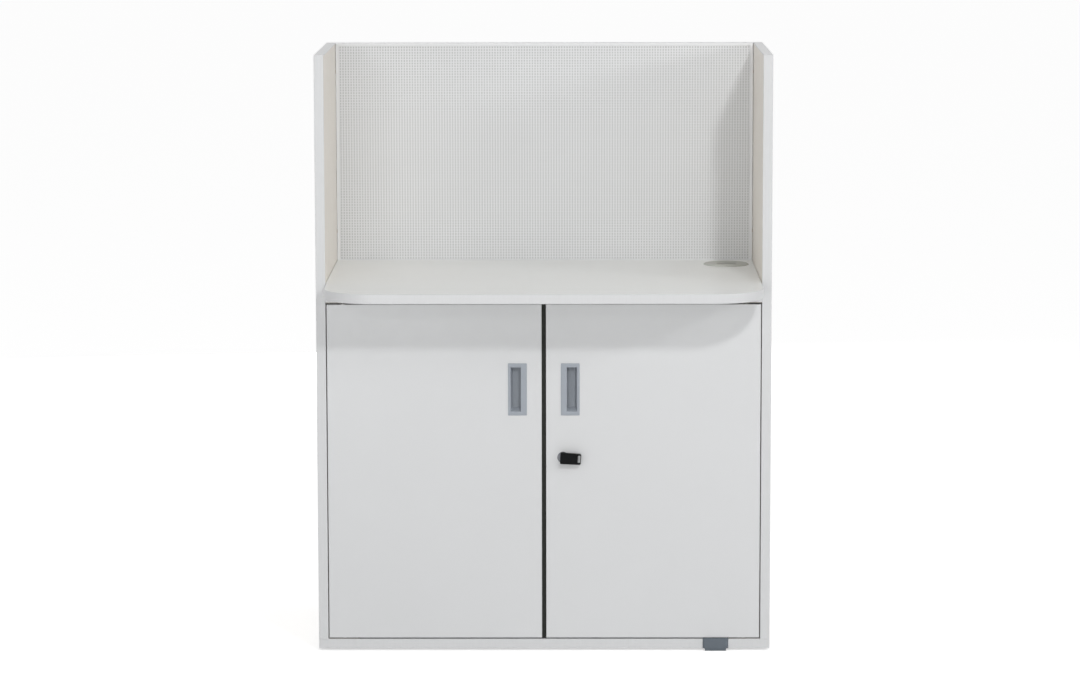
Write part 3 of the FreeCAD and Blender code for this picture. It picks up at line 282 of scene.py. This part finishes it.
for entry in frame["record"]["subparts"]:
    dress(NODES[entry["node"]], MATERIALS[entry["material_slot"]])
# The pivot plates take the zinc that carries painted gap shade.
for name in ("lower_pivot_left", "lower_pivot_right", "upper_pivot_left", "upper_pivot_right"):
    dress(NODES[name], GAP_SHADE_ZINC)


# ---- soft edges ----

def soften(piece, width, angle=40.0, segments=2):
    """Round the sharp edges of a piece a little, without changing its mesh."""
    weld = piece.modifiers.new("weld", "WELD")
    weld.merge_threshold = WELD
    bevel = piece.modifiers.new("soft_edges", "BEVEL")
    bevel.width = width
    bevel.segments = segments
    bevel.limit_method = "ANGLE"
    bevel.angle_limit = math.radians(angle)
    bevel.use_clamp_overlap = True
    bevel.harden_normals = True


# ---- meshes made here ----

def piece_from(name, mesh, body, slot, *replaced, material=None):
    """Put a finished bmesh into the scene, riding on a body and standing for nodes."""
    bmesh.ops.recalc_face_normals(mesh, faces=mesh.faces)
    data = bpy.data.meshes.new(name)
    mesh.to_mesh(data)
    mesh.free()
    made = bpy.data.objects.new(name, data)
    bpy.context.scene.collection.objects.link(made)
    dress(made, material or MATERIALS[slot])
    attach(made, body)
    if replaced:
        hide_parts(*replaced)
    return made


def perforated(low, high, columns, rows, hole_x, hole_z):
    """A flat sheet in the XZ plane with oblong holes centred in equal cells."""
    lines_a_cell = 3
    mesh = bmesh.new()
    cell_x = (high.x - low.x) / columns
    cell_z = (high.z - low.z) / rows
    margin_x = (cell_x - hole_x) / 2
    margin_z = (cell_z - hole_z) / 2

    def lines(start, cell, margin, count):
        """The sheet's own lines: each cell's border, then both sides of its hole."""
        places = []
        for index in range(count):
            near = start + index * cell
            places.extend((near, near + margin, near + cell - margin))
        return places + [start + count * cell]

    across = lines(low.x, cell_x, margin_x, columns)
    up = lines(low.z, cell_z, margin_z, rows)
    layers = [
        [[mesh.verts.new((x, y, z)) for z in up] for x in across]
        for y in (low.y, high.y)
    ]

    def solid(i, k):
        inside = 0 <= i < len(across) - 1 and 0 <= k < len(up) - 1
        return inside and not (i % lines_a_cell == 1 and k % lines_a_cell == 1)

    front, rear = layers
    for i in range(len(across) - 1):
        for k in range(len(up) - 1):
            if not solid(i, k):
                continue
            corners = ((i, k), (i + 1, k), (i + 1, k + 1), (i, k + 1))
            mesh.faces.new([front[a][b] for a, b in corners])
            mesh.faces.new([rear[a][b] for a, b in reversed(corners)])
            beside = ((i, k - 1), (i + 1, k), (i, k + 1), (i - 1, k))
            for number, (a, b) in enumerate(beside):
                if not solid(a, b):
                    first = corners[number]
                    second = corners[(number + 1) % 4]
                    wall = [
                        front[second[0]][second[1]],
                        front[first[0]][first[1]],
                        rear[first[0]][first[1]],
                        rear[second[0]][second[1]],
                    ]
                    mesh.faces.new(wall)
    return mesh


def screen_sheet():
    """The perforated sheet, in two halves that meet at the middle of a bar."""
    low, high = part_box("screen_sheet")
    pitch = 5.5 * MM
    hole = (3.1 * MM, 3.9 * MM)
    columns = 2 * round((high.x - low.x) / pitch / 2)
    rows = round((high.z - low.z) / pitch)
    middle = (low.x + high.x) / 2
    left_high = Vector((middle, high.y, high.z))
    right_low = Vector((middle, low.y, low.z))
    left = perforated(low, left_high, columns // 2, rows, *hole)
    right = perforated(right_low, high, columns // 2, rows, *hole)
    piece_from("screen_sheet_left", left, "carcass", "screen_white", "screen_sheet")
    piece_from("screen_sheet_right", right, "carcass", "screen_white", "screen_sheet")


def rounded_rectangle(half_x, half_z, radius):
    """Points round a rectangle with round corners, about its middle."""
    steps = 6
    points = []
    for quarter in range(4):
        sign_x = (1, -1, -1, 1)[quarter]
        sign_z = (1, 1, -1, -1)[quarter]
        for step in range(steps + 1):
            angle = math.pi / 2 * (quarter + step / steps)
            x = sign_x * (half_x - radius) + radius * math.cos(angle)
            z = sign_z * (half_z - radius) + radius * math.sin(angle)
            points.append((x, z))
    return points


def ring_of(mesh, points, centre, y):
    return [mesh.verts.new((centre[0] + x, y, centre[1] + z)) for x, z in points]


def bridge(mesh, first, second):
    count = len(first)
    for index in range(count):
        following = (index + 1) % count
        corners = (first[index], first[following], second[following], second[index])
        mesh.faces.new(corners)


def lofted(mesh, sections):
    """Join rings of equal counts in turn, and close the first and the last."""
    rings = [ring_of(mesh, points, centre, y) for points, centre, y in sections]
    for first, second in zip(rings, rings[1:]):
        bridge(mesh, first, second)
    mesh.faces.new(rings[0])
    mesh.faces.new(rings[-1])


def shade(piece):
    """Smooth shading that keeps the sharper edges."""
    sharpest = math.radians(35.0)
    data = piece.data
    for polygon in data.polygons:
        polygon.use_smooth = True
    mesh = bmesh.new()
    mesh.from_mesh(data)
    for edge in mesh.edges:
        if len(edge.link_faces) == 2:
            edge.smooth = edge.calc_face_angle(0.0) < sharpest
    mesh.to_mesh(data)
    mesh.free()


def pull_skin(low, high, sign):
    """A flush pull's rings in turn: cup, eased face, square mouth and undercut hollow."""
    thickness = 1.5 * MM
    mouth_width = 20.0 * MM
    mouth_margin = 5.1 * MM
    mouth_length = 88.0 * MM
    undercut = 7.0 * MM
    ramp = 6.5 * MM
    slope = 3.0 * MM
    lip = 0.5 * MM
    cove = 1.5 * MM
    plate_corner = 0.9 * MM
    mouth_corner = 0.3 * MM
    hollow_corner = 0.6 * MM
    cup_corner = 1.5 * MM
    edge_of_mouth = 0.1 * MM
    steps = 4
    face = low.y
    door = face + thickness
    floor = high.y - thickness
    middle_z = (low.z + high.z) / 2
    plate_half = ((high.x - low.x) / 2, (high.z - low.z) / 2)
    plate_at = ((low.x + high.x) / 2, middle_z)
    mouth_half = (mouth_width / 2, mouth_length / 2)
    mouth_reach = plate_half[0] - mouth_margin - mouth_half[0]
    mouth_at = (plate_at[0] + sign * mouth_reach, middle_z)
    hollow_half = (mouth_half[0] + undercut / 2, mouth_half[1])
    hollow_at = (mouth_at[0] - sign * undercut / 2, middle_z)
    cup_half = (hollow_half[0] + thickness, hollow_half[1] + thickness)

    def plate_ring(inset, depth):
        half = (plate_half[0] - inset, plate_half[1] - inset)
        return rounded_rectangle(*half, plate_corner - inset), plate_at, depth

    def mouth_ring(grow, depth):
        half = (mouth_half[0] + grow, mouth_half[1] + grow)
        return rounded_rectangle(*half, mouth_corner + grow), mouth_at, depth

    def hollow_ring(inset, depth):
        """The hollow at a depth: its lower end and its outer side climb towards the floor."""
        share = (depth - door) / (floor - door)
        rise = ramp * share
        lean = slope * share
        half = (hollow_half[0] - inset - lean / 2, hollow_half[1] - inset - rise / 2)
        centre = (hollow_at[0] - sign * lean / 2, middle_z + rise / 2)
        return rounded_rectangle(*half, hollow_corner), centre, depth

    skin = [
        (rounded_rectangle(*cup_half, cup_corner), hollow_at, high.y),
        (rounded_rectangle(*cup_half, cup_corner), hollow_at, door),
        plate_ring(0.0, door),
        plate_ring(0.0, face + lip),
    ]
    quarter = [math.pi / 2 * step / steps for step in range(steps + 1)]
    for angle in quarter[1:]:
        skin.append(plate_ring(lip * (1 - math.cos(angle)), face + lip * (1 - math.sin(angle))))
    for angle in quarter:
        skin.append(mouth_ring(lip * (1 - math.sin(angle)), face + lip * (1 - math.cos(angle))))
    skin.append(mouth_ring(0.0, door))
    skin.append(hollow_ring(0.0, door + edge_of_mouth))
    skin.append(hollow_ring(0.0, floor - cove))
    for angle in quarter[1:]:
        depth = floor - cove * (1 - math.sin(angle))
        skin.append(hollow_ring(cove * (1 - math.cos(angle)), depth))
    return skin


def flush_pull(side, sign):
    """A flush pull as one closed skin. The sign says where its narrow border lies."""
    node = f"pull_{side}"
    mesh = bmesh.new()
    lofted(mesh, pull_skin(*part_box(node), sign))
    shade(piece_from(f"flush_pull_{side}", mesh, f"{side}_door", "pull_grey", node))


def copied(node):
    """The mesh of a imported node, for a piece that takes its place."""
    mesh = bmesh.new()
    mesh.from_mesh(NODES[node].data)
    bmesh.ops.remove_doubles(mesh, verts=mesh.verts, dist=WELD)
    return mesh


def narrower(node, name, slot, material=None):
    """A piece of the worktop, drawn in at both ends so that a fine open joint shows."""
    joint = 1.0 * MM
    share = 1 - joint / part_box("worktop")[1].x
    mesh = copied(node)
    mesh.transform(Matrix.Diagonal((share, 1.0, 1.0, 1.0)))
    return piece_from(name, mesh, "carcass", slot, node, material=material)


def key_head():
    """The key's head, narrowing towards its ring slot and rounder at that end."""
    tilt = math.radians(3.4)
    radius = 3.2 * MM
    taper = 0.05
    mesh = copied("key_head")
    low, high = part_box("lock_plug")
    # The head lies tilted about the lock, so it is shaped in axes of its own.
    seat = Matrix.Translation((low + high) / 2) @ Matrix.Rotation(tilt, 4, "Y")
    mesh.transform(seat.inverted())
    near = min(vertex.co.x for vertex in mesh.verts)
    far = max(vertex.co.x for vertex in mesh.verts)
    half = max(vertex.co.z for vertex in mesh.verts)
    start = far - radius
    # More lines across the head where the rounding starts, for it to bend at.
    for share in (0.0, 0.2, 0.4):
        everything = mesh.verts[:] + mesh.edges[:] + mesh.faces[:]
        cut_at = (start + share * radius, 0.0, 0.0)
        bmesh.ops.bisect_plane(mesh, geom=everything, plane_co=cut_at, plane_no=(1.0, 0.0, 0.0))
    for vertex in mesh.verts:
        into = max(0.0, vertex.co.x - start)
        limit = half - radius + math.sqrt(max(0.0, radius ** 2 - into ** 2))
        height = max(-limit, min(limit, vertex.co.z))
        vertex.co.z = height * (1 - taper * (vertex.co.x - near) / (far - near))
    mesh.transform(seat)
    return piece_from("key_grip", mesh, "key_head", "key_black", "key_head")


screen_sheet()
flush_pull("left", -1)
flush_pull("right", 1)

BOARD_EASING = 0.12 * MM
BAND_EASING = 0.14 * MM
SMALL_EASING = 0.25 * MM
MOULDED_EASING = 0.6 * MM

# The worktop's top takes the lighter white, which is painted light.
top = narrower("worktop", "worktop_top", "board_white", WORKTOP_PAINTED_LIGHT)
narrower("worktop_edge_band", "worktop_edge", "edging_white")
soften(top, BOARD_EASING, angle=60.0, segments=1)
soften(key_head(), MOULDED_EASING)
for name in ("foot_clip", "foot_sole"):
    soften(NODES[name], MOULDED_EASING)
for name in ("lock_body", "lock_plug"):
    soften(NODES[name], SMALL_EASING)
for name in ("grommet_ring", "grommet_cap"):
    soften(NODES[name], SMALL_EASING, angle=50.0)
for name in ("door_left_panel", "door_right_panel", "screen_frame"):
    soften(NODES[name], BOARD_EASING, angle=60.0, segments=1)
for name in ("base_edge_band", "side_edge_band_left", "side_edge_band_right"):
    soften(NODES[name], BAND_EASING, angle=60.0, segments=1)


# ---- floor, surroundings and light ----

AMBIENT = 0.34
OVERHEAD = 0.9
FLOOR_LIFT = 0.54
MIDDLE = Vector((0.0, 0.0, 0.65))


def background_rays(tree):
    """One for the rays that show the background: to the eye, in gloss and through glass."""
    path = tree.nodes.new("ShaderNodeLightPath")
    either = tree.nodes.new("ShaderNodeMath")
    either.operation = "MAXIMUM"
    tree.links.new(path.outputs["Is Camera Ray"], either.inputs[0])
    tree.links.new(path.outputs["Is Glossy Ray"], either.inputs[1])
    every = tree.nodes.new("ShaderNodeMath")
    every.operation = "MAXIMUM"
    tree.links.new(either.outputs[0], every.inputs[0])
    tree.links.new(path.outputs["Is Transmission Ray"], every.inputs[1])
    return every.outputs[0]


def floor_material():
    """Pale and matt, lifted to white for the eye, so that only the shadow shows."""
    material = bpy.data.materials.new("studio_floor")
    material.use_nodes = True
    tree = material.node_tree
    tree.nodes.clear()
    matt = tree.nodes.new("ShaderNodeBsdfDiffuse")
    matt.inputs["Color"].default_value = (0.8, 0.8, 0.8, 1.0)
    glow = tree.nodes.new("ShaderNodeEmission")
    both = tree.nodes.new("ShaderNodeAddShader")
    lift = tree.nodes.new("ShaderNodeMath")
    lift.operation = "MULTIPLY"
    lift.inputs[1].default_value = FLOOR_LIFT
    out = tree.nodes.new("ShaderNodeOutputMaterial")
    tree.links.new(background_rays(tree), lift.inputs[0])
    tree.links.new(lift.outputs[0], glow.inputs["Strength"])
    tree.links.new(matt.outputs[0], both.inputs[0])
    tree.links.new(glow.outputs[0], both.inputs[1])
    tree.links.new(both.outputs[0], out.inputs["Surface"])
    return material


def studio_floor():
    """A wide floor that keeps the object's shadow."""
    half = 60.0
    corners = ((-half, -half), (half, -half), (half, half), (-half, half))
    mesh = bmesh.new()
    mesh.faces.new([mesh.verts.new((x, y, 0.0)) for x, y in corners])
    data = bpy.data.meshes.new("floor")
    mesh.to_mesh(data)
    mesh.free()
    made = bpy.data.objects.new("floor", data)
    bpy.context.scene.collection.objects.link(made)
    dress(made, floor_material())


def surroundings():
    """A pale studio, brighter overhead, that shows as white itself."""
    world = bpy.data.worlds.new("studio")
    bpy.context.scene.world = world
    world.use_nodes = True
    tree = world.node_tree
    tree.nodes.clear()
    direction = tree.nodes.new("ShaderNodeTexCoord")
    parts = tree.nodes.new("ShaderNodeSeparateXYZ")
    overhead = tree.nodes.new("ShaderNodeMath")
    overhead.operation = "MULTIPLY_ADD"
    overhead.inputs[1].default_value = AMBIENT * OVERHEAD
    overhead.inputs[2].default_value = AMBIENT
    strength = tree.nodes.new("ShaderNodeMapRange")
    strength.inputs["To Max"].default_value = 1.0
    light = tree.nodes.new("ShaderNodeBackground")
    light.inputs["Color"].default_value = (1.0, 1.0, 1.0, 1.0)
    out = tree.nodes.new("ShaderNodeOutputWorld")
    tree.links.new(direction.outputs["Generated"], parts.inputs[0])
    tree.links.new(parts.outputs["Z"], overhead.inputs[0])
    tree.links.new(overhead.outputs[0], strength.inputs["To Min"])
    tree.links.new(background_rays(tree), strength.inputs["Value"])
    tree.links.new(strength.outputs["Result"], light.inputs["Strength"])
    tree.links.new(light.outputs[0], out.inputs["Surface"])


def lamp(name, place, size, power):
    """A round lamp of a size in metres and a power in watts, aimed at the object."""
    data = bpy.data.lights.new(name, "AREA")
    data.shape = "DISK"
    data.size = size
    data.energy = power
    made = bpy.data.objects.new(name, data)
    made.location = place
    made.rotation_mode = "QUATERNION"
    made.rotation_quaternion = (MIDDLE - Vector(place)).to_track_quat("-Z", "Y")
    bpy.context.scene.collection.objects.link(made)


studio_floor()
surroundings()
# Three small lamps cast the shadows, and three large ones soften them.
lamp("lamp_high_right", (1.103, -3.455, 2.714), 0.32, 36.0)
lamp("lamp_far_right", (2.300, -1.307, 1.603), 0.27, 9.0)
lamp("lamp_low_left", (-1.485, -3.865, 1.695), 0.35, 7.0)
lamp("lamp_soft_left", (-2.2, -2.4, 1.0), 1.2, 3.0)
lamp("lamp_soft_rear", (-0.6, 4.2, 0.3), 1.6, 50.0)
lamp("lamp_soft_front", (-0.8, -4.8, 0.8), 1.4, 22.0)


# ---- camera ----

def camera():
    """The photo's camera, fitted to the object's corners: far, and looking slightly down."""
    place = Vector((0.041, -7.5616, 1.6502))
    pitch = math.radians(7.793)
    yaw = math.radians(-0.373)
    roll = math.radians(-0.095)
    ahead = Vector((
        math.sin(yaw) * math.cos(pitch),
        math.cos(yaw) * math.cos(pitch),
        -math.sin(pitch),
    ))
    right = Vector((math.cos(yaw), -math.sin(yaw), 0.0))
    above = right.cross(ahead)
    across = right * math.cos(roll) + above * math.sin(roll)
    upward = above * math.cos(roll) - right * math.sin(roll)
    data = bpy.data.cameras.new("camera")
    data.lens = 126.67
    data.sensor_width = 36.0
    data.clip_end = 200.0
    made = bpy.data.objects.new("camera", data)
    bpy.context.scene.collection.objects.link(made)
    turn = Matrix((across, upward, -ahead)).transposed().to_4x4()
    made.matrix_world = Matrix.Translation(place) @ turn
    bpy.context.scene.camera = made


camera()
bpy.context.scene.view_settings.view_transform = "Standard"
